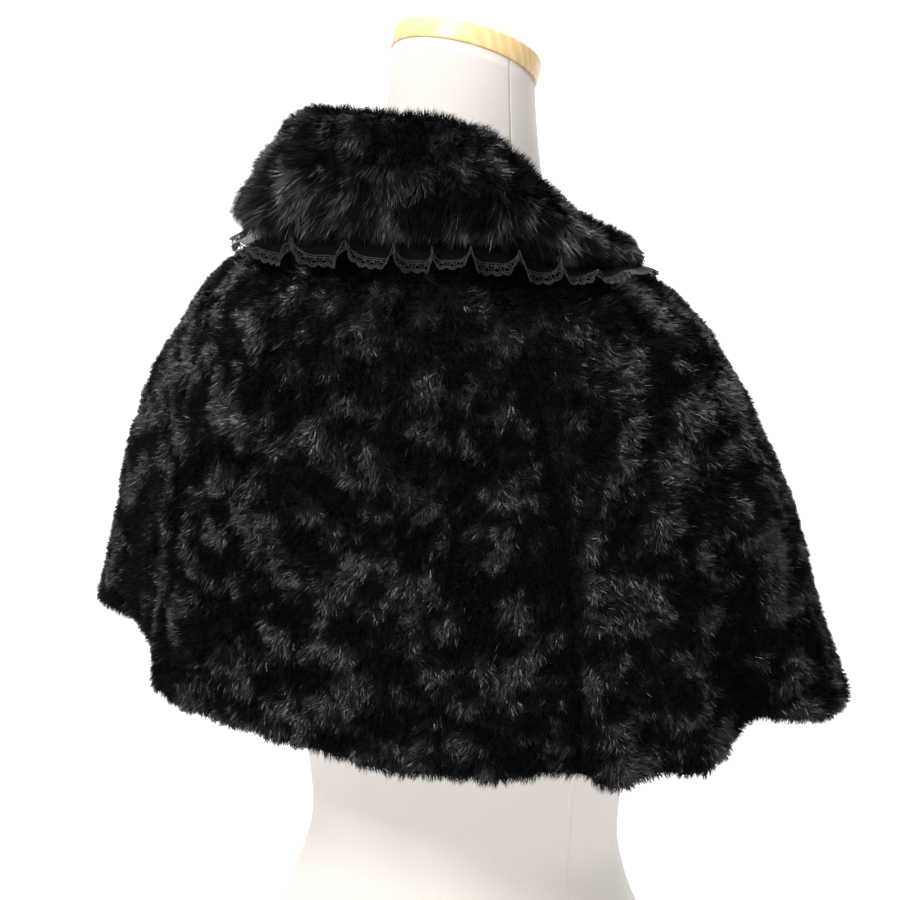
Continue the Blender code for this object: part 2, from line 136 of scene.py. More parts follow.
# Folds: angle, half width in degrees, reach at the hem, row where it starts
FOLDS = [
    (-172.0, 9.0, 0.006, 0.35),
    (-155.0, 9.0, -0.010, 0.35),
    (-138.0, 11.0, 0.010, 0.35),
    (-114.0, 10.0, -0.012, 0.40),
    (-84.0, 12.0, 0.014, 0.20),
    (-59.0, 10.0, -0.024, 0.25),
    (-49.0, 4.0, -0.010, 0.35),
    (-40.0, 5.0, 0.002, 0.30),
    (-14.0, 12.0, -0.003, 0.45),
    (12.0, 13.0, 0.002, 0.45),
    (37.0, 4.0, -0.005, 0.30),
    (45.0, 5.0, 0.007, 0.30),
    (50.5, 3.5, -0.003, 0.50),
    (56.0, 5.0, 0.006, 0.40),
    (72.0, 8.5, -0.021, 0.40),
    (100.0, 12.0, 0.006, 0.35),
    (121.0, 10.0, -0.012, 0.40),
    (140.0, 11.0, 0.010, 0.35),
    (157.0, 9.0, -0.010, 0.35),
    (172.0, 8.0, 0.006, 0.35),
]
# Cloth that swings round: angle, half width, shift, all in degrees
SWINGS = [(-42.0, 18.0, 8.0), (40.0, 22.0, -4.5)]

# Collar: angle, fold crest reach and height, lower edge reach and height, fold radius
COLLAR = [
    (-168.0, 0.081, 0.607, 0.108, 0.570, 0.0075),
    (-150.0, 0.082, 0.620, 0.114, 0.584, 0.0080),
    (-120.0, 0.082, 0.646, 0.120, 0.598, 0.0090),
    (-90.0, 0.083, 0.666, 0.124, 0.611, 0.0095),
    (-60.0, 0.083, 0.681, 0.126, 0.615, 0.0095),
    (-30.0, 0.080, 0.694, 0.120, 0.622, 0.0095),
    (0.0, 0.079, 0.698, 0.112, 0.629, 0.0095),
    (30.0, 0.076, 0.693, 0.112, 0.630, 0.0095),
    (60.0, 0.077, 0.661, 0.114, 0.616, 0.0090),
    (90.0, 0.077, 0.628, 0.112, 0.602, 0.0070),
    (120.0, 0.078, 0.611, 0.109, 0.586, 0.0064),
    (150.0, 0.078, 0.598, 0.104, 0.574, 0.0064),
    (168.0, 0.076, 0.592, 0.100, 0.566, 0.0064),
]

# Where the ruffle dips to the fur, in degrees round the neck
RUFFLE_LOWS = [
    -172.3, -158.3, -142.3, -130.3, -116.3, -101.3, -88.3, -72.3, -58.3, -46.3, -31.3, -12.8,
    3.8, 16.2, 25.0, 36.8, 51.1, 61.0, 74.1, 91.5, 105.5, 120.5, 136.5, 151.5, 167.5,
]

# How far the net stays up at each of those, as a share of a crest
RUFFLE_LIFTS = [
    0.0, 0.3, 0.05, 0.35, 0.0, 0.2, 0.3, 0.0, 0.25, 0.1, 0.2, 0.0,
    0.36, 0.0, 0.42, 0.0, 0.05, 0.3, 0.0, 0.3, 0.1, 0.3, 0.0, 0.25, 0.0,
]

# How tall the waves stand, by angle: they flatten over the two shoulders.
RUFFLE_CRESTS = (
    [-150, -110, -90, -60, -35, -22, 60, 72, 85, 110, 150],
    [0.9, 0.6, 0.4, 0.35, 0.6, 1.0, 1.0, 0.6, 0.35, 0.45, 0.9],
)

# ---- the fur's sizes ----
PELT_WALL = 0.0028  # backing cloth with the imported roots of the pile
PILE_SHARE = 0.50  # share of the solid's wall that is loose pile
NAP_WIDE = 0.020  # how wide the patches are where the nap lies over or stands up
LUMP_HIGH = 0.0034
HAIR_LONG = 0.0050
HAIR_WIDE = 0.00043
CLUMP_WIDE, CLUMP_BLUR = 0.0026, 0.0005
RELIEF = 0.6  # how far the hairs follow the lumps rather than the smooth drape
LIE = 30.0  # degrees that the pile rises from the skin on a tuft
STAND = 42.0  # how many more in a hollow
SWIRLS = ((1.9, 0.034, 21), (1.5, 0.014, 22), (0.6, 0.006, 23))  # radians, metres across, seed
CLUMP_TURN, CLUMP_RISE, CLUMP_LONG = 0.50, 11.0, 0.12  # how far the clumps differ
HAIR_TURN, HAIR_RISE, HAIR_ROLL = 0.24, 8.0, 0.70  # and the hairs in each
LONGER, WIDER, PULLED = (0.75, 1.15), (0.65, 1.35), (0.10, 0.42)  # ranges from hair to hair
RISE_RANGE = (8, 86)
DROOP = 0.10
GLOSSY_FROM, GLOSSY_BLUR = 0.15, 0.5
THIN_PILE = 0.0012
PARTING, FRONT_FULLER = 0.0045, -0.25  # the pile's parting at a seam, and at the fronts


# ---- shape functions ----
def smooth_table(rows, at):
    """Each column of the table read at `at`, by a monotone cubic in its first column."""
    rows = np.asarray(rows, float)
    x = rows[:, 0]
    step = np.diff(x)
    out = []
    for column in rows[:, 1:].T:
        slope = np.diff(column) / step
        tangent = np.zeros(len(x))
        tangent[0] = slope[0]
        tangent[-1] = slope[-1]
        for i in range(1, len(x) - 1):
            if slope[i - 1] * slope[i] > 0:
                w1 = 2 * step[i] + step[i - 1]
                w2 = step[i] + 2 * step[i - 1]
                tangent[i] = (w1 + w2) / (w1 / slope[i - 1] + w2 / slope[i])
        k = np.clip(np.searchsorted(x, at) - 1, 0, len(step) - 1)
        t = (at - x[k]) / step[k]
        h = step[k]
        out.append(
            column[k] * (1 + 2 * t) * (1 - t) ** 2
            + h * tangent[k] * t * (1 - t) ** 2
            + column[k + 1] * t**2 * (3 - 2 * t)
            + h * tangent[k + 1] * t**2 * (t - 1)
        )
    return out


def fold_push(angles, rows):
    """How far the folds push the cape out, by angle and row."""
    push = np.zeros((len(angles), len(rows)))
    for angle, spread, size, start in FOLDS:
        away = (np.asarray(angles)[:, None] - angle) / spread
        ramp = np.clip((rows - start) / (1 - start), 0, 1)
        push += size * np.exp(-(away**2)) * ramp**1.3
    return push


def cape_face(angles, rows):
    """Outer face of the cape as a grid [angle, row, xyz]. `rows` run from 0, neck, to 1, hem."""
    table = [(i / (len(CAPE) - 1), *row) for i, row in enumerate(CAPE)]
    side_x, side_z, back_y, back_z, front_y, front_z, square = smooth_table(table, rows)
    degrees = np.asarray(angles, float)[:, None] + np.zeros(len(rows))
    for angle, spread, shift in SWINGS:
        share = np.clip((rows - 0.15) / 0.85, 0, 1)
        degrees = degrees + shift * share * np.exp(-(((degrees - angle) / spread) ** 2))
    turn = np.radians(degrees)
    sin = np.sin(turn)
    cos = np.cos(turn)
    bulge = (np.abs(sin) ** square + np.abs(cos) ** square) ** (-1 / square)
    reach = np.where(cos > 0, back_y, front_y)
    weight = cos**2
    end_z = np.where(cos > 0, back_z, front_z)
    centre = BACK_SET * (1 - rows**2)
    x = -side_x * sin * bulge
    y = centre + (reach - np.sign(cos) * centre) * cos * bulge
    z = side_z * (1 - weight) + end_z * weight
    push = fold_push(angles, rows)
    away = np.hypot(x, y * 1.3)
    x = x + push * x / away
    y = y + push * y * 1.3 / away
    hem = np.clip((rows - 0.7) / 0.3, 0, 1) ** 2
    z = z - 0.35 * push * hem
    return np.stack([x, y, z], axis=2)


def unit(vectors):
    return vectors / np.maximum(np.linalg.norm(vectors, axis=-1, keepdims=True), 1e-12)


def grid_normals(grid):
    """Unit normals of a grid [angle, row, xyz], outwards for rows that run down the cape."""
    return unit(np.cross(np.gradient(grid, axis=1), np.gradient(grid, axis=0)))


class CapeTop:
    """The cape's upper face, for laying the collar and the ruffle on it."""

    def __init__(self):
        grid = cape_face(np.linspace(-180, 180, 181), np.linspace(0, 0.6, 61))
        faces = grid_faces(*grid.shape[:2]).tolist()
        self.tree = BVHTree.FromPolygons(grid.reshape(-1, 3).tolist(), faces)

    def height(self, x, y):
        hit = self.tree.ray_cast((x, y, 1.0), (0, 0, -1))
        return None if hit[0] is None else hit[0].z


NECK_RING = cape_face(np.linspace(-180, 180, 361), np.array([0.0]))[:, 0]


def neck_edge(angle):
    """Reach and height of the cape's neck edge in one direction from the neck centre."""
    turn = np.degrees(np.arctan2(-NECK_RING[:, 0], NECK_RING[:, 1] - NECK_CENTRE_Y))
    reach = np.hypot(NECK_RING[:, 0], NECK_RING[:, 1] - NECK_CENTRE_Y)
    order = np.argsort(turn)
    return (
        np.interp(angle, turn[order], reach[order]),
        np.interp(angle, turn[order], NECK_RING[order, 2]),
    )


def ring_point(angle, reach, height):
    t = math.radians(angle)
    return (-reach * math.sin(t), NECK_CENTRE_Y + reach * math.cos(t), height)


def collar_path(angle):
    """Middle line of the folded collar at one angle: (reach, height) from seam to lower edge."""
    crest_r, crest_z, edge_r, edge_z, fold = (
        float(v[0]) for v in smooth_table(COLLAR, np.array([angle]))
    )
    neck_r, neck_z = neck_edge(angle)
    half = COLLAR_WALL / 2
    seam_r = neck_r + half - 0.001
    seam_z = neck_z + 0.0016
    top_z = crest_z - half
    middle = (crest_r + fold - 0.004, top_z - fold)
    path = [(seam_r, seam_z), ((seam_r + middle[0] - fold) / 2, (seam_z + middle[1]) / 2)]
    for turn in (165, 125, 90, 55, 25):
        t = math.radians(turn)
        path.append((middle[0] + fold * math.cos(t), middle[1] + fold * math.sin(t)))
    start = np.array(path[-1])
    end = np.array([edge_r, edge_z])
    out = np.array([0.003, 0.002])
    for t in (0.25, 0.5, 0.75, 1.0):
        path.append(tuple(start * (1 - t) + end * t + out * math.sin(math.pi * t) * 0.8))
    return np.array(path)


def lifted_path(angle, cape_top):
    """The collar's middle line, raised where it must be to leave room for the ruffle under it."""
    path = collar_path(angle)
    need = COLLAR_WALL / 2 + UNDER_COLLAR
    lift = np.zeros(len(path))
    for k in range(CREST, len(path)):
        x, y, z = ring_point(angle, path[k, 0], path[k, 1])
        cape_z = cape_top.height(x, y)
        if cape_z is not None:
            lift[k] = max(0.0, cape_z + need - z)
    if lift.any():
        lift[CREST:] = np.maximum.accumulate(lift[CREST:][::-1])[::-1]
    path[:, 1] += lift
    return path


def collar_middle(angle, cape_top):
    """The same with the fall's corners rounded at the front ends, and the shoulder's sink."""
    path = lifted_path(angle, cape_top)
    near_end = min(1.0, (COLLAR_END - abs(angle)) / 12.0)
    shorter = 0.35 * (1 - math.sqrt(max(0.0, 1 - (1 - near_end) ** 2)))
    path[CREST:, 1] -= SHOULDER_SINK * math.exp(-(((angle - SINK_AT) / SINK_WIDE) ** 2))
    middle = path[MID_FALL]
    path[MID_FALL + 1 :] = middle + (path[MID_FALL + 1 :] - middle) * (1 - shorter)
    return path


def ruffle_wave(angle):
    """0 where the net lies on the fur and 1 where it stands up, and which way it leans."""
    turn = np.interp(angle, RUFFLE_LOWS, np.arange(len(RUFFLE_LOWS)))
    wave = 0.5 - 0.5 * math.cos(2 * math.pi * turn)
    low = np.interp(turn, np.arange(len(RUFFLE_LOWS)), RUFFLE_LIFTS)
    tall = np.interp(angle, *RUFFLE_CRESTS)
    return tall * (low + (1 - low) * wave**1.25), tall * math.sin(2 * math.pi * turn)


def ruffle_grid(angles, places, cape_top):
    """Face of the ruffle. `places` are metres out from the collar's lower edge, along the net."""
    out = np.zeros((len(angles), len(places), 3))
    for i, angle in enumerate(angles):
        path = lifted_path(angle, cape_top)
        edge_r = path[-1, 0]
        below = path[-1, 1] - COLLAR_WALL * 0.5
        x, y, _ = ring_point(angle, edge_r, 0)
        room = below - cape_top.height(x, y)
        wave, lean = ruffle_wave(angle)
        reaches = edge_r + np.linspace(-0.02, 0.03, 26)
        heights = np.array([cape_top.height(*ring_point(angle, r, 0)[:2]) for r in reaches])
        slopes = np.arctan2(np.diff(heights), np.diff(reaches))
        middles = (reaches[1:] + reaches[:-1]) / 2
        lift = max(0.5 * room, room - NET_ROOM)
        # From its hinge under the fur's edge outwards the net follows its own slope.
        steps = np.linspace(HINGE, RUFFLE_OUT + LACE_WIDE + 0.0012, 30)
        reach, height = [edge_r + HINGE * 0.8], [np.interp(edge_r, reaches, heights) + lift]
        for a, b in zip(steps[:-1], steps[1:]):
            ease = min(1.0, (a - HINGE) / 0.004)
            lie = np.interp(reach[-1], middles, slopes)
            gap = height[-1] - np.interp(reach[-1], reaches, heights)
            settle = lie - 0.95 * min(1.0, max(-0.6, (gap - NET_FLOATS) / 0.003))
            slope = settle + (STAND_UP - settle) * wave * ease
            reach.append(reach[-1] + (b - a) * math.cos(slope))
            height.append(height[-1] + (b - a) * math.sin(slope))
        for k, place in enumerate(places):
            if place <= HINGE:
                r = edge_r + place * 0.8
                z = np.interp(r, reaches, heights) + lift
            else:
                r = np.interp(place, steps, reach)
                z = np.interp(place, steps, height)
            swing = max(0.0, (place - HINGE) / (RUFFLE_OUT + LACE_WIDE - HINGE))
            turn = angle + math.degrees(SWING * lean * swing / r)
            x, y, _ = ring_point(turn, r, 0)
            out[i, k] = (x, y, z)
    return out


# ---- noise ----
GRADIENTS = unit(np.random.default_rng(11).normal(size=(4096, 3)))


def noise(points, size, seed):
    """Smooth noise of about -1 to 1 with features `size` metres across."""
    p = points / size + np.array([seed * 7.13, seed * 3.71 + 5.3, seed * 5.93 + 9.1])
    cell = np.floor(p).astype(np.int64)
    t = p - cell
    fade = t * t * t * (t * (t * 6 - 15) + 10)
    total = np.zeros(len(p))
    for corner in range(8):
        c = np.array([corner & 1, corner >> 1 & 1, corner >> 2 & 1])
        key = cell + c
        mixed = key[:, 0] * 73856093 ^ key[:, 1] * 19349663 ^ key[:, 2] * 83492791 ^ seed * 97
        gradient = GRADIENTS[(mixed ^ mixed >> 13) & 4095]
        weight = np.prod(np.where(c == 1, fade, 1 - fade), axis=1)
        total += weight * np.einsum("ij,ij->i", gradient, t - c)
    return total * 1.7


def nap(points):
    """The crushed pile: -1 where it stands up in a hollow, 1 where it lies over on a tuft."""
    rough = noise(points, NAP_WIDE, 1) + 0.6 * noise(points, NAP_WIDE * 0.45, 2)
    return np.tanh(2.0 * (rough + 0.35 * noise(points, NAP_WIDE * 0.2, 6)) - 0.25)


def lumps(points):
    """Height of the crushed pile from about -1, in a hollow, to 1, on a tuft."""
    crease = 1 - 2.4 * np.abs(noise(points, NAP_WIDE * 0.7, 4))
    return 0.55 * nap(points) + 0.30 * crease + 0.25 * noise(points, NAP_WIDE * 0.3, 3)


# ---- materials ----
def new_material(name):
    made = bpy.data.materials.new(name)
    made.use_nodes = True
    tree = made.node_tree
    return made, tree, tree.nodes["Principled BSDF"]


def set_shader(shader, **values):
    for key, value in values.items():
        shader.inputs[key.replace("_", " ")].default_value = value


def node(tree, kind, **values):
    made = tree.nodes.new(kind)
    for key, value in values.items():
        if hasattr(made, key):
            setattr(made, key, value)
        else:
            made.inputs[key.replace("_", " ")].default_value = value
    return made


def ramp(tree, source, stops):
    made = tree.nodes.new("ShaderNodeValToRGB")
    while len(made.color_ramp.elements) < len(stops):
        made.color_ramp.elements.new(0.5)
    for element, (place, colour) in zip(made.color_ramp.elements, stops):
        element.position = place
        element.color = (*colour, 1.0)
    tree.links.new(source, made.inputs["Fac"])
    return made.outputs["Color"]


def texture(tree, place, kind, **values):
    """A node that is read at `place`."""
    made = node(tree, kind, **values)
    tree.links.new(place, made.inputs["Vector"])
    return made


def object_place(tree):
    return tree.nodes.new("ShaderNodeTexCoord").outputs["Object"]


def weighted(tree, value, weight, base):
    """`value` times `weight`, plus `base`."""
    made = node(tree, "ShaderNodeMath", operation="MULTIPLY_ADD")
    tree.links.new(value, made.inputs[0])
    made.inputs[1].default_value = weight
    tree.links.new(base, made.inputs[2])
    return made.outputs[0]


def paint(tree, shader, source, stops):
    tree.links.new(ramp(tree, source, stops), shader.inputs["Base Color"])


def add_bump(tree, shader, source, strength, distance):
    bump = node(tree, "ShaderNodeBump", Strength=strength, Distance=distance)
    tree.links.new(source, bump.inputs["Height"])
    tree.links.new(bump.outputs["Normal"], shader.inputs["Normal"])


def times(colour, share):
    return tuple(share * c for c in colour)


def fur_material(name, tint, gloss, rough):
    """Near-black pile: every hair a little different, with painted sheen that makes it lighter
    where the nap lies over, and painted shade that darkens the roots and the standing pile.
    """
    made, tree, shader = new_material(name)
    each = tree.nodes.new("ShaderNodeNewGeometry").outputs["Random Per Island"]
    lying_with_painted_shade = node(tree, "ShaderNodeAttribute", attribute_name="nap").outputs["Fac"]
    mixed = weighted(tree, each, 0.55, lying_with_painted_shade)
    # Painted sheen and shade: the colour runs from dark, at the roots and in standing pile, to
    # light where the nap lies over; the share that differs from hair to hair is random tone.
    dark, light = times(tint, 0.25), times(tint, 3.2)
    paint(tree, shader, mixed, [(0.15, dark), (0.60, tint), (1.0, light)])
    spread = node(
        tree, "ShaderNodeMapRange", From_Max=1.2, To_Min=rough + 0.08, To_Max=rough - 0.06
    )
    tree.links.new(mixed, spread.inputs["Value"])
    tree.links.new(spread.outputs[0], shader.inputs["Roughness"])
    set_shader(shader, Specular_IOR_Level=gloss, Specular_Tint=(0.96, 0.96, 1.0, 1.0))
    return made


def pelt_material(name, tint):
    """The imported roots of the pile, seen only as dark depth between the hairs."""
    made, tree, shader = new_material(name)
    place = object_place(tree)
    strands = texture(tree, place, "ShaderNodeTexNoise", Scale=900.0, Detail=4.0).outputs["Fac"]
    paint(tree, shader, strands, [(0.35, times(tint, 0.35)), (0.7, tint)])
    add_bump(tree, shader, strands, 0.6, 0.0008)
    set_shader(shader, Roughness=0.85, Specular_IOR_Level=0.12)
    return made


def cloth_material(name, colour, threads):
    """Plain woven cloth: crossing threads in colour and bump, with slight soiling."""
    made, tree, shader = new_material(name)
    place = object_place(tree)
    both = node(tree, "ShaderNodeMath", operation="MULTIPLY")
    for n, way in enumerate(("Z", "DIAGONAL")):
        wave = texture(tree, place, "ShaderNodeTexWave", Scale=threads, Distortion=0.6)
        wave.bands_direction = way
        tree.links.new(wave.outputs["Fac"], both.inputs[n])
    cloudy = texture(tree, place, "ShaderNodeTexNoise", Scale=9.0, Detail=4.0).outputs["Fac"]
    weave = ramp(tree, both.outputs[0], [(0.0, times(colour, 0.94)), (0.6, colour)])
    stain = ramp(tree, cloudy, [(0.3, (0.955, 0.95, 0.94)), (0.65, (1, 1, 1))])
    mix = node(tree, "ShaderNodeMix", data_type="RGBA", blend_type="MULTIPLY", Factor=1.0)
    tree.links.new(weave, mix.inputs[6])
    tree.links.new(stain, mix.inputs[7])
    tree.links.new(mix.outputs[2], shader.inputs["Base Color"])
    add_bump(tree, shader, both.outputs[0], 0.25, 0.0002)
    set_shader(shader, Roughness=0.88, Sheen_Weight=0.15)
    return made


def wood_material(name, light, dark):
    """Pale varnished wood with growth rings that run through the plate."""
    made, tree, shader = new_material(name)
    place = object_place(tree)
    place = texture(tree, place, "ShaderNodeMapping", Scale=(0.25, 1.0, 1.0)).outputs[0]
    grain = texture(tree, place, "ShaderNodeTexWave", Scale=60.0, Distortion=5.0, Detail=3.0)
    grain.bands_direction = "Y"
    fine = texture(tree, place, "ShaderNodeTexNoise", Scale=260.0, Detail=5.0)
    both = weighted(tree, fine.outputs["Fac"], 0.45, grain.outputs["Fac"])
    paint(tree, shader, both, [(0.15, light), (1.2, dark)])
    add_bump(tree, shader, both, 0.08, 0.0002)
    set_shader(shader, Roughness=0.38, Coat_Weight=0.25, Coat_Roughness=0.25)
    return made


def net_material(name, colour):
    """Sheer net: fine crossing threads with clear holes between them, by the sheet's own grid."""
    made, tree, shader = new_material(name)
    place = tree.nodes.new("ShaderNodeUVMap").outputs["UV"]
    cells = texture(tree, place, "ShaderNodeTexVoronoi", Scale=1.0, Randomness=0.12)
    cells.voronoi_dimensions = "2D"
    cells.feature = "DISTANCE_TO_EDGE"
    threads = node(tree, "ShaderNodeMath", operation="LESS_THAN")
    tree.links.new(cells.outputs["Distance"], threads.inputs[0])
    threads.inputs[1].default_value = 0.30
    tree.links.new(threads.outputs[0], shader.inputs["Alpha"])
    shade = texture(tree, place, "ShaderNodeTexNoise", Scale=3.0, Detail=3.0).outputs["Fac"]
    paint(tree, shader, shade, [(0.3, times(colour, 0.6)), (0.7, colour)])
    set_shader(shader, Roughness=0.9, Specular_IOR_Level=0.06)
    return made


def lace_material(name, colour):
    """Cotton-like lace cord with a fine twist."""
    made, tree, shader = new_material(name)
    place = object_place(tree)
    wave = texture(tree, place, "ShaderNodeTexWave", Scale=520.0, Distortion=2.0)
    wave.bands_direction = "DIAGONAL"
    twist = wave.outputs["Fac"]
    paint(tree, shader, twist, [(0.2, times(colour, 0.4)), (0.8, colour)])
    add_bump(tree, shader, twist, 0.4, 0.0002)
    set_shader(shader, Roughness=0.45, Specular_IOR_Level=0.25, Sheen_Weight=0.05)
    return made


# ---- meshes ----
def add_piece(name, points, faces, surface, smooth=True):
    """A mesh from arrays: `faces` is (n, 3) or (n, 4)."""
    mesh = bpy.data.meshes.new(name)
    points = np.asarray(points, np.float32).reshape(-1, 3)
    faces = np.asarray(faces, np.int32)
    mesh.vertices.add(len(points))
    mesh.vertices.foreach_set("co", points.ravel())
    mesh.loops.add(faces.size)
    mesh.loops.foreach_set("vertex_index", faces.ravel())
    mesh.polygons.add(len(faces))
    starts = np.arange(0, faces.size, faces.shape[1], dtype=np.int32)
    mesh.polygons.foreach_set("loop_start", starts)
    mesh.polygons.foreach_set("use_smooth", np.full(len(faces), smooth))
    mesh.update(calc_edges=True)
    mesh.validate()
    mesh.materials.append(surface)
    made = bpy.data.objects.new(name, mesh)
    bpy.context.scene.collection.objects.link(made)
    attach(made, "root")
    return made


def grid_faces(rows, columns, wrap=False):
    """Quads over a grid of points [row, column]. `wrap` joins the last column to the first."""
    i, k = np.meshgrid(np.arange(rows - 1), np.arange(columns - (0 if wrap else 1)), indexing="ij")
    j = (k + 1) % columns
    quads = [i * columns + k, i * columns + j, (i + 1) * columns + j, (i + 1) * columns + k]
    return np.stack(quads, axis=-1).reshape(-1, 4)


def triangles(quads):
    return np.concatenate([quads[:, [0, 1, 2]], quads[:, [0, 2, 3]]])


def capped(rings):
    """A stack of rings closed by a fan at each end, as points and triangles."""
    count = rings.shape[1]
    here = np.arange(count)
    ahead = (here + 1) % count
    last = (len(rings) - 1) * count
    low = np.full(count, len(rings) * count)
    faces = [
        triangles(grid_faces(len(rings), count, wrap=True)),
        np.column_stack([low, ahead, here]),
        np.column_stack([low + 1, last + here, last + ahead]),
    ]
    points = [rings.reshape(-1, 3), rings[0].mean(axis=0)[None], rings[-1].mean(axis=0)[None]]
    return np.concatenate(points), np.concatenate(faces)


def blended(values, i, k, u, v):
    """A grid's values inside its cells (i, k), at the shares `u` and `v` of each cell."""
    top = values[i, k] * (1 - u) + values[i + 1, k] * u
    low = values[i, k + 1] * (1 - u) + values[i + 1, k + 1] * u
    return top * (1 - v) + low * v


def grid_area(grid):
    a = grid[1:, 1:] - grid[:-1, :-1]
    b = grid[1:, :-1] - grid[:-1, 1:]
    return 0.5 * np.linalg.norm(np.cross(a, b), axis=2)


# ---- fur ----
class Pelt:
    """A fur side as a grid [across, down, xyz], with all that a hair needs to know of its root."""

    def __init__(self, roots, normals, long, swirl, sink):
        self.roots = roots
        self.normals = normals
        self.down = unit(np.gradient(roots, axis=1))
        self.long = long
        self.swirl = swirl
        self.sink = sink

    def sample(self, count, rng):
        """`count` even places on the pelt, by area, each as its own blend of four grid points."""
        area = grid_area(self.roots)
        total = np.cumsum(area.ravel())
        at = (np.arange(count) + rng.random(count)) / count * total[-1]
        cell = np.clip(np.searchsorted(total, at), 0, area.size - 1)
        i, k = np.divmod(cell, area.shape[1])
        u = rng.random(count)[:, None]
        v = rng.random(count)[:, None]
        out = []
        for values in (self.roots, self.normals, self.down, self.long, self.swirl, self.sink):
            if values.ndim == 2:
                values = values[:, :, None]
            out.append(blended(values, i, k, u, v))
        return out

    def part(self, low, high):
        grids = (self.roots, self.normals, self.long, self.swirl, self.sink)
        return Pelt(*(values[low : high + 1] for values in grids))


def grow_fur(name, pelt, count, seed, surface):
    """Hairs as single tapering blades, gathered into small clumps, in one joined mesh."""
    rng = np.random.default_rng(seed)
    root, normal, down, length, swirl, sink = pelt.sample(count, rng)
    normal = unit(normal)
    down = unit(down - normal * np.einsum("ij,ij->i", down, normal)[:, None])
    across = np.cross(normal, down)

    clump_count = max(8, int(grid_area(pelt.roots).sum() / CLUMP_WIDE**2))
    chosen = rng.choice(count, min(clump_count, count), replace=False)
    tree = KDTree(len(chosen))
    for n, which in enumerate(chosen):
        tree.insert(root[which], n)
    tree.balance()
    nearest = np.array([tree.find(p)[1] for p in root + rng.normal(0, CLUMP_BLUR, root.shape)])
    clump_of = chosen[nearest]
    clump_turn = rng.normal(0, CLUMP_TURN, len(chosen))[nearest]
    clump_rise = rng.normal(0, CLUMP_RISE, len(chosen))[nearest]
    clump_long = rng.normal(1.0, CLUMP_LONG, len(chosen))[nearest]

    swirl = swirl[:, 0]
    turn = swirl * sum(size * noise(root, wide, at) for size, wide, at in SWIRLS)
    turn = turn + swirl * clump_turn + rng.normal(0, HAIR_TURN, count)
    # Painted shade: in the seams and fold valleys the pile counts as standing, so its hairs rise
    # more and it gets the duller finish and the darker colour.
    lying_with_painted_shade = np.clip(nap(root) - 1.7 * sink[:, 0], -1, 1)
    rise = LIE + swirl * (STAND * (1 - lying_with_painted_shade) / 2 + clump_rise) + rng.normal(0, HAIR_RISE, count)
    rise = np.radians(np.clip(rise, *RISE_RANGE))
    flat = down * np.cos(turn)[:, None] + across * np.sin(turn)[:, None]
    long = HAIR_LONG * length[:, 0] * clump_long * rng.uniform(*LONGER, count)
    lean = unit(flat * np.cos(rise)[:, None] + normal * np.sin(rise)[:, None])
    lean = unit(lean + np.array([0, 0, -DROOP]))
    tip = root + lean * long[:, None]
    pull = rng.uniform(*PULLED, count)[:, None]
    tip = tip * (1 - pull) + (tip[clump_of] + (root - root[clump_of]) * 0.35) * pull

    roll = rng.normal(0, HAIR_ROLL, count)[:, None]
    along = unit(tip - root)
    side = unit(np.cross(along, normal))
    side = side * np.cos(roll) + np.cross(along, side) * np.sin(roll)
    half = side * (HAIR_WIDE * 0.5 * rng.uniform(*WIDER, count))[:, None]
    points = np.stack([root + half, tip, root - half], axis=1)
    faces = np.arange(count)[:, None] * 3 + np.array([0, 1, 2])
    standing, lying_over = surface
    made = add_piece(name, points, faces, standing, smooth=False)
    made.data.materials.append(lying_over)
    glossy = lying_with_painted_shade + rng.normal(0, GLOSSY_BLUR, count) > GLOSSY_FROM
    made.data.polygons.foreach_set("material_index", glossy.astype(np.int32))
    # The nap is read at the tip, where lying pile is painted lighter as sheen; every root is
    # painted dark, as shade deep in the pile.
    painted_sheen_and_shade = made.data.attributes.new("nap", "FLOAT", "POINT")
    values = np.zeros((count, 3), np.float32)
    values[:, 1] = 0.5 + 0.5 * lying_with_painted_shade
    painted_sheen_and_shade.data.foreach_set("value", values.ravel())
    return made


def fur_side(face, skin, inner, normal, turns, stretch, turned):
    """Places and normals down the skin, round its lower edge and `turned` rows up the inside."""
    ahead = unit(face[:, -1] - face[:, -2])
    middle = (skin[:, -1] + inner[:, -1]) / 2
    half = (skin[:, -1] - inner[:, -1]) / 2
    radius = np.linalg.norm(half, axis=1, keepdims=True)
    places = [skin]
    normals = [unit(normal * (1 - RELIEF) + grid_normals(skin) * RELIEF)]
    for turn in turns:
        t = math.radians(turn)
        rolled = middle + half * math.cos(t) + ahead * radius * stretch * math.sin(t)
        places.append(rolled[:, None])
        normals.append(unit(half / radius * math.cos(t) + ahead * math.sin(t))[:, None])
    places.append(inner[:, ::-1][:, :turned])
    normals.append(-normal[:, ::-1][:, :turned])
    return np.concatenate(places, axis=1), np.concatenate(normals, axis=1)


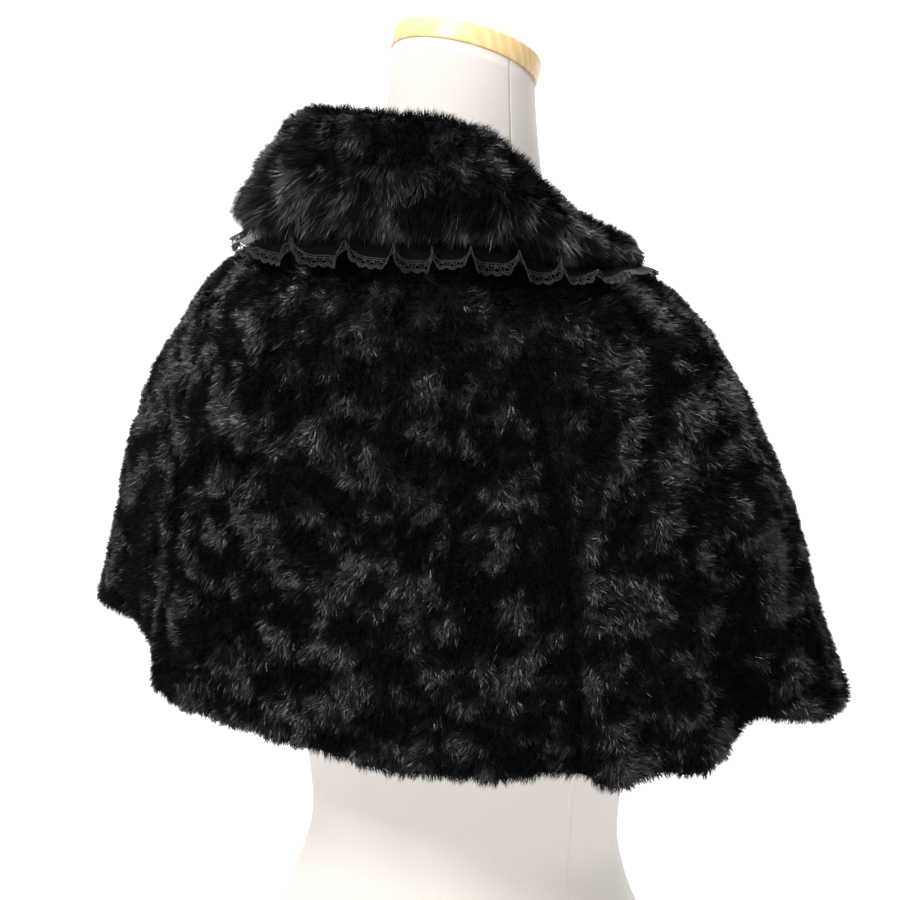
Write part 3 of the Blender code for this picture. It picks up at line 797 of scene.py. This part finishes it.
def cape_pelt(start, end):
    """One cape panel: its angles, its fur side, its plain inside and the solid's outer face."""
    count = int(round((end - start) / PANEL_STEP))
    angles = np.linspace(start, end, count + 1)
    rows = np.linspace(0.0, LAST_ROW, PANEL_ROWS)
    face = cape_face(angles, rows)
    before = cape_face(angles - 1.0, rows)
    after = cape_face(angles + 1.0, rows)
    normal = unit(np.cross(np.gradient(face, axis=1), after - before))
    # At the front edges it points straight ahead, so that the skins meet below the surface too.
    normal[..., 0] *= 1 - np.clip((np.abs(angles) - AHEAD_FROM) / AHEAD_OVER, 0, 1)[:, None]
    normal = unit(normal)
    ease = np.clip(rows / 0.25, 0, 1) ** 2
    wall = (NECK_WALL + (CAPE_WALL - NECK_WALL) * ease)[None, :]
    bumps = lumps(face.reshape(-1, 3)).reshape(len(angles), len(rows))
    # The pile parts along each side seam.
    seam = np.minimum(np.abs(angles - start), np.abs(angles - end))[:, None]
    metres = seam * np.radians(1.0) * np.hypot(face[..., 0], face[..., 1])
    parting = np.exp(-((metres / PARTING) ** 2))
    # Where the fronts meet it is fuller instead, and closes over the edges.
    parting *= np.where(np.abs(angles) > 170.0, FRONT_FULLER, 1.0)[:, None]
    deeper = np.interp(rows, [0.0, 0.35, 0.7], [0.0022, 0.0026, 0.0050])
    share = PILE_SHARE + np.interp(
        rows, [0, 0.12, 0.3, 0.6, 0.85, 1], [0, 0.16, 0.14, 0.08, 0, -0.08]
    )
    depth = wall * share - LUMP_HIGH * bumps * (wall / CAPE_WALL) + deeper * parting
    for angle, spread, size in SHOULDERS:
        over = np.interp(rows, [0.0, 0.1, 0.42, 0.6], [0.0, 1.0, 1.0, 0.0])
        depth += size * over * np.exp(-(((angles[:, None] - angle) / spread) ** 2))
    depth = np.clip(depth, THIN_PILE, wall - PELT_WALL)
    depth *= np.interp(rows, [0.0, 0.07, 0.16], [0.12, 0.35, 1.0])
    skin = face - normal * depth[..., None]
    inner = face - normal * wall[..., None]
    turns = (25, 55, 90, 130, 165)
    roots, normals = fur_side(face, skin, inner, normal, turns, 1.25, HEM_TURNED)
    # In the seams and down in the narrow folds the pile stands up more, and painted shade keeps it
    # dark there.
    sink = np.zeros(roots.shape[:2])
    deep = np.maximum(parting, 0.0)
    sink[:, : len(rows)] = deep * np.interp(rows, [0.0, 0.3, 0.5], [0.3, 0.4, 1.0])
    sink[:, : len(rows)] += 0.7 * np.clip(-fold_push(angles, rows) / 0.012 - 0.4, 0, 1)
    long = np.ones(roots.shape[:2])
    long[:, : len(rows)] *= 1 - 0.25 * parting
    long[:, len(rows) - 3 :] *= 1.2
    # Under the collar's fall the pile stands up and fills the room.
    long[:, : len(rows)] *= np.interp(rows, [0, 0.04, 0.08, 0.16, 0.20], [0.6, 1.5, 1.8, 1.8, 1])
    return angles, Pelt(roots, normals, long, np.ones(roots.shape[:2]), sink), inner, face


def pelt_wall(name, pelt, inner, surface, turned):
    """A closed thin wall: the fur side's skin and the plain inside, joined along every edge."""
    # The fur goes `turned` rows up the inside, where the plain inside takes over.
    inside = inner[:, ::-1][:, turned:][:, ::2]
    loop = np.concatenate([pelt.roots, inside, inner[:, :1]], axis=1)
    across, around = loop.shape[:2]
    split = triangles(grid_faces(across, around, wrap=True)[:, ::-1])
    # End walls: the two sides of the loop are zipped together with triangles.
    fur_rows = pelt.roots.shape[1]
    left = np.arange(fur_rows)
    right = np.arange(around - 1, fur_rows - 1, -1)
    ends = []
    a, b = 0, 0
    while a < len(left) - 1 or b < len(right) - 1:
        left_lags = (a + 1) / len(left) <= (b + 1) / len(right) and a < len(left) - 1
        if left_lags or b == len(right) - 1:
            ends.append((left[a], left[a + 1], right[b]))
            a += 1
        else:
            ends.append((left[a], right[b + 1], right[b]))
            b += 1
    ends = np.array(ends)
    last = (across - 1) * around
    faces = np.concatenate([split, ends, (ends + last)[:, ::-1]])
    return add_piece(name, loop.reshape(-1, 3), faces, surface)


# ---- pieces ----
def build_cape():
    """The three panels. It returns the finishes of the fur and of its skin, for the collar."""
    tint = (0.0039, 0.0039, 0.0046)
    fur_surface = (
        fur_material("standing_pile", tint, 0.08, 0.62),
        fur_material("lying_pile", tint, 0.60, 0.38),
    )
    skin_surface = pelt_material("fur_skin", (0.006, 0.006, 0.007))
    near, far = SIDE_SEAM - CLOSED_SEAM, SIDE_SEAM + CLOSED_SEAM
    # Name, first and last angle, solid, slot, pieces of fur, hairs in each
    panels = [
        ("back", -near, near, "cape_back", "fur_back", 1, 162000),
        ("left", -FRONT_CLOSED, -far, "cape_front_left", "fur_front_left", 2, 112000),
        ("right", far, FRONT_CLOSED, "cape_front_right", "fur_front_right", 2, 116000),
    ]
    for n, (name, start, end, solid, slot, parts, hairs) in enumerate(panels):
        angles, pelt, inner, face = cape_pelt(start, end)
        wall = pelt_wall(f"pelt_{name}", pelt, inner, skin_surface, HEM_TURNED)
        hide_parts(solid)
        edges = np.linspace(0, len(angles) - 1, parts + 1).round().astype(int)
        for m, (low, high) in enumerate(zip(edges[:-1], edges[1:])):
            label = f"fur_{name}" if parts == 1 else f"fur_{name}_{m + 1}"
            grown = grow_fur(label, pelt.part(low, high), hairs, 100 + 10 * n + m, fur_surface)
    return fur_surface, skin_surface


def build_collar(fur_surface, skin_surface, cape_top):
    angles = np.linspace(-COLLAR_END, COLLAR_END, 181)
    # Each middle line is read at even steps.
    fine = []
    for angle in angles:
        line = collar_middle(angle, cape_top)
        steps = np.concatenate([[0], np.cumsum(np.linalg.norm(np.diff(line, axis=0), axis=1))])
        at = np.linspace(0, steps[-1], COLLAR_ROWS)
        fine.append(np.column_stack(smooth_table(np.column_stack([steps, line]), at)))
    fine = np.array(fine)
    # The first rows sink, so that the skin starts on the cape's neck.
    fine[:, :4, 1] -= np.array([0.0040, 0.0030, 0.0018, 0.0006])
    along = unit(np.gradient(fine, axis=1))
    side = np.stack([-along[..., 1], along[..., 0]], axis=2)
    half = COLLAR_WALL / 2

    def lift(offset):
        flat = fine + side * offset
        t = np.radians(angles)[:, None]
        reach, height = flat[..., 0], flat[..., 1]
        x = -reach * np.sin(t)
        y = NECK_CENTRE_Y + reach * np.cos(t)
        return np.stack([x, y, height + 0 * x], axis=2)

    face = lift(half)
    under = lift(-half - UNDERSIDE)
    normal = unit(face - under)
    # The pattern is read half a metre off, so that it doesn't go on from the cape's.
    bumps = lumps(face.reshape(-1, 3) + 0.5).reshape(face.shape[:2])
    depth = np.clip(COLLAR_WALL * PILE_SHARE - LUMP_HIGH * 1.1 * bumps, 0.0022, 0.0088)
    keep = COLLAR_KEPT
    face, under, normal, depth = (v[:, :keep] for v in (face, under, normal, depth))
    skin = face - normal * depth[..., None]
    turns = (30, 60, 90, 125, 160)
    roots, normals = fur_side(face, skin, under, normal, turns, 1.2, COLLAR_TURNED)
    # The hairs are longer and combed straight down over the lower edge.
    row = np.arange(roots.shape[1])
    at = [0, 6, 30, keep - 3, keep + 2, keep + 6]
    long = np.interp(row, at, [0.9, 1.35, 1.35, 2.4, 2.6, 2.2])
    swirl = np.interp(row, [0, 32, keep - 4], [1.0, 1.0, 0.30])
    every = np.ones(roots.shape[:2])
    tips = np.interp(angles, [-110, -80, -45, -20, 45, 75], [1, 1.3, 1.25, 1, 1, 0.55])[:, None]
    every = every + (tips - 1) * np.clip((row - 26) / 10, 0, 1)
    pelt = Pelt(roots, normals, every * long, 0 * every + swirl, 0 * every)
    wall = pelt_wall("pelt_collar", pelt, under, skin_surface, COLLAR_TURNED)
    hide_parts("collar")
    fur = grow_fur("fur_collar", pelt, 150000, 400, fur_surface)


class Strip:
    """The ruffle's middle face, to be read at any length along it and place across it."""

    def __init__(self, cape_top):
        angles = np.linspace(-RUFFLE_END, RUFFLE_END, 653)
        self.places = np.array(
            [-RUFFLE_IN, -0.009, -0.005, -0.002, 0.0, 0.0015, 0.003, 0.0045]
            + [RUFFLE_OUT, 0.0072, 0.009, 0.011, 0.0135]
        )
        self.grid = ruffle_grid(angles, self.places, cape_top)
        self.normals = grid_normals(self.grid)
        # The length is the net's, where it ends and the lace begins.
        net_edge = self.grid[:, list(self.places).index(RUFFLE_OUT)]
        steps = np.linalg.norm(np.diff(net_edge, axis=0), axis=1)
        self.length = np.concatenate([[0], np.cumsum(steps)])

    def read(self, along, place):
        """Points and normals at lengths `along` and places `place`."""
        a = np.interp(along, self.length, np.arange(len(self.length)))
        p = np.interp(place, self.places, np.arange(len(self.places)))
        i = np.clip(np.floor(a).astype(int), 0, len(self.length) - 2)
        k = np.clip(np.floor(p).astype(int), 0, len(self.places) - 2)
        u = (a - i)[..., None]
        v = (p - k)[..., None]
        points, normals = (blended(g, i, k, u, v) for g in (self.grid, self.normals))
        return points, unit(normals)


def tubes(strip, lines, radius):
    """Four-sided cords along lines of (length, place) on the strip, a little flat."""
    points, faces, start = [], [], 0
    for line in lines:
        line = np.asarray(line, float)
        centre, normal = strip.read(line[:, 0], line[:, 1])
        ahead = unit(np.gradient(centre, axis=0))
        side = unit(np.cross(ahead, normal))
        up = np.cross(side, ahead)
        high = up * radius * CORD_FLAT
        ring = [side * radius, high, -side * radius, -high]
        points.append(np.stack([centre + r for r in ring], axis=1).reshape(-1, 3))
        quads = grid_faces(len(line), 4, wrap=True) + start
        ends = np.array([[3, 2, 1, 0], np.array([0, 1, 2, 3]) + (len(line) - 1) * 4]) + start
        faces += [quads, ends]
        start += len(line) * 4
    return np.concatenate(points), np.concatenate(faces)


def build_ruffle(cape_top):
    strip = Strip(cape_top)
    total = strip.length[-1]
    net_places = np.linspace(-RUFFLE_IN, RUFFLE_OUT + 0.0006, 9)
    along = np.linspace(0, total, 760)
    s, p = np.meshgrid(along, net_places, indexing="ij")
    points, _ = strip.read(s, p)
    surface = net_material("sheer_net", (0.0022, 0.0022, 0.0024))
    net = add_piece("net_ruffle", points, grid_faces(len(along), len(net_places)), surface)
    uv = net.data.uv_layers.new(name="cut")
    corner = np.zeros(len(net.data.loops), np.int32)
    net.data.loops.foreach_get("vertex_index", corner)
    flat = np.stack([s.ravel() / NET_CELL, p.ravel() / NET_CELL], axis=1)[corner]
    uv.data.foreach_set("uv", flat.ravel().astype(np.float32))
    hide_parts("collar_ruffle")

    repeats = int(total / LACE_REPEAT)
    wide = total / repeats
    lines = {"cord": [], "ring": [], "bar": []}
    even = np.linspace(0, total, repeats * 4)
    for across in LACE_CORDS:
        lines["cord"].append(np.column_stack([even, np.full_like(even, RUFFLE_OUT + across)]))
    scallop = np.linspace(0, total, repeats * 8 + 1)
    bow = RUFFLE_OUT + SCALLOP_FROM + SCALLOP_DEEP * np.abs(np.sin(np.pi * scallop / wide))
    lines["cord"].append(np.column_stack([scallop, bow]))
    lines["cord"].append(np.column_stack([scallop, bow - SCALLOP_CORD]))
    turn = np.linspace(0, 2 * np.pi, 9)
    for n in range(repeats):
        centre = (n + 0.5) * wide
        for across, size in LACE_RINGS:
            ring = [centre + size * np.cos(turn), RUFFLE_OUT + across + size * np.sin(turn)]
            lines["ring"].append(np.column_stack(ring))
        edge = n * wide
        low, high = RUFFLE_OUT + LACE_CORDS[1], RUFFLE_OUT + SCALLOP_FROM
        lines["bar"].append([(edge, low), (edge + 1e-5, high)])
    points, faces, start = [], [], 0
    for kind, radius in (("cord", CORD_RADIUS), ("ring", CORD_RADIUS), ("bar", BAR_RADIUS)):
        got, quads = tubes(strip, lines[kind], radius)
        points.append(got)
        faces.append(quads + start)
        start += len(got)
    surface = lace_material("lace_cord", (0.016, 0.016, 0.018))
    lace = add_piece("lace_edging", np.concatenate(points), np.concatenate(faces), surface)
    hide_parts("ruffle_lace_edge")
    wide = RUFFLE_IN + RUFFLE_OUT
    flat = (float(total), wide)
    print("SHEET net", round(float(total), 3), wide, "lace repeats", repeats)


# ---- dress form ----
def cap_ring(offset, radius, turn):
    """Ring of the tilted neck plate, `offset` up along the plate's own axis."""
    tilt = math.radians(CAP_TILT)
    axis = np.array([0.0, -math.sin(tilt), math.cos(tilt)])
    across = np.array([0.0, math.cos(tilt), math.sin(tilt)])
    centre = np.array(CAP_CENTRE) + axis * offset
    side = np.array([-1.0, 0.0, 0.0])
    return centre + radius * (np.sin(turn)[:, None] * side + np.cos(turn)[:, None] * across)


def build_form():
    base_turns = np.linspace(0, 360, 120, endpoint=False)
    extra = [a + d for a in SEAM_ANGLES for d in (-0.9, -0.35, 0.0, 0.35, 0.9)]
    degrees = np.unique(np.round(np.mod(np.concatenate([base_turns, extra]), 360), 3))
    turn = np.radians(degrees)
    heights = np.concatenate([np.linspace(0.0, 0.54, 55), np.linspace(0.546, 0.602, 15)])
    half_x, back, front = smooth_table(FORM, heights)
    away = np.min([np.abs((degrees - a + 180) % 360 - 180) for a in SEAM_ANGLES], axis=0)
    groove = np.exp(-((away / SEAM_WIDE) ** 2))
    sections = []
    for z, a, yb, yf in zip(heights, half_x, back, front):
        lean = min(1.0, max(0.0, (z - LEAN_FROM) / LEAN_OVER))
        y = np.where(np.cos(turn) > 0, yb, yf) * np.cos(turn)
        x = -a * np.sin(turn)
        sections.append(np.stack([x, y, z + lean * NECK_LEAN * y], axis=1))
    base = sections[-1]
    top = cap_ring(-SEAM_GAP, CAP_RADIUS - 0.0012, turn)
    for t in np.linspace(0, 1, 17)[1:]:
        ease = 1 - (1 - t) ** 1.35
        centre = base.mean(axis=0) * (1 - t) + top.mean(axis=0) * t
        round_base = base - base.mean(axis=0)
        round_top = top - top.mean(axis=0)
        sections.append(centre + round_base * (1 - ease) + round_top * ease)
    grid = np.array(sections)
    outward = unit(grid * np.array([1, 1, 0]) - grid.mean(axis=1, keepdims=True) * [1, 1, 0])
    grid = grid - outward * (SEAM_DEEP * groove[None, :, None])
    # The lower edge is drawn in a little over the flat underside.
    grid[0] = grid[0] * np.array([0.985, 0.985, 1.0])
    surface = cloth_material("form_cover_cloth", (0.77, 0.715, 0.67), 420.0)
    cover = add_piece("form_cover", *capped(grid), surface)
    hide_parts("form_torso")

    turn = np.linspace(0, 2 * np.pi, 96, endpoint=False)
    edge = 0.0022
    outline = [(0.0, CAP_RADIUS - 0.0009), (0.0004, CAP_RADIUS - 0.0003), (0.0012, CAP_RADIUS)]
    for t in np.linspace(0, 90, 7):
        a = math.radians(t)
        outline.append(
            (CAP_DEPTH - edge + edge * math.sin(a), CAP_RADIUS - edge + edge * math.cos(a))
        )
    outline += [(CAP_DEPTH, CAP_RADIUS * 0.7), (CAP_DEPTH, CAP_RADIUS * 0.35)]
    rings = np.array([cap_ring(o, r, turn) for o, r in outline])
    surface = wood_material("pale_varnished_wood", (0.88, 0.64, 0.32), (0.80, 0.54, 0.25))
    plate = add_piece("neck_plate", *capped(rings), surface)
    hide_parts("form_neck_cap")


# ---- stage ----
def build_stage():
    surface, tree, shader = new_material("pale_floor")
    cloudy = texture(tree, object_place(tree), "ShaderNodeTexNoise", Scale=0.7, Detail=2.0)
    paint(tree, shader, cloudy.outputs["Fac"], [(0.3, [0.9] * 3), (0.7, [0.92] * 3)])
    set_shader(shader, Roughness=0.9)
    mesh = bpy.data.meshes.new("floor")
    mesh.from_pydata([(-12, -12, 0), (12, -12, 0), (12, 12, 0), (-12, 12, 0)], [], [(0, 1, 2, 3)])
    mesh.materials.append(surface)
    floor = bpy.data.objects.new("floor", mesh)
    floor.location.z = -0.0005
    bpy.context.scene.collection.objects.link(floor)

    world = bpy.data.worlds.new("studio")
    bpy.context.scene.world = world
    world.use_nodes = True
    set_shader(world.node_tree.nodes["Background"], Color=(1, 1, 1, 1), Strength=0.30)
    # Name, place in metres, size in metres, power in watts
    for name, where, size, power in (
        ("overhead", (0.2, 0.2, 3.0), 2.2, 68.0),
        ("key", (0.45, 2.0, 2.5), 0.7, 84.0),
        ("back", (1.6, -3.4, 3.2), 5.0, 330.0),
        ("side", (-2.6, 0.4, 1.2), 1.2, 3.0),
    ):
        lamp = bpy.data.lights.new(name, "AREA")
        lamp.size = size
        lamp.energy = power
        made = bpy.data.objects.new(name, lamp)
        made.location = where
        aim = Vector((0, 0, 0.45)) if name in ("key", "side") else Vector((*where[:2], 0))
        aim = aim - Vector(where)
        made.rotation_euler = aim.to_track_quat("-Z", "Y").to_euler()
        bpy.context.scene.collection.objects.link(made)


def build_camera():
    """The camera behind the wearer's right shoulder: 27 degrees round and 19 degrees up."""
    turn, rise = math.radians(27.0), math.radians(19.0)
    # The scale is in pixels a metre, at the target, in an image 900 pixels wide.
    distance, scale = 1.7, 1620.0
    ahead = Vector(
        (math.sin(turn) * math.cos(rise), -math.cos(turn) * math.cos(rise), -math.sin(rise))
    )
    right = Vector((-math.cos(turn), -math.sin(turn), 0.0))
    up = right.cross(ahead)
    target = Vector((0, 0, 0.465)) - right * (13.0 / scale)
    place = target - ahead * distance
    data = bpy.data.cameras.new("camera")
    data.sensor_width = 36.0
    data.lens = 36.0 * scale * distance / 900.0
    made = bpy.data.objects.new("camera", data)
    bpy.context.scene.collection.objects.link(made)
    columns = ((*right, 0), (*up, 0), (*-ahead, 0), (*place, 1))
    made.matrix_world = Matrix(columns).transposed()
    bpy.context.scene.camera = made


build_camera()
build_stage()
build_form()
top = CapeTop()
fur, skin = build_cape()
build_collar(fur, skin, top)
build_ruffle(top)
bpy.context.scene.view_settings.view_transform = "Standard"
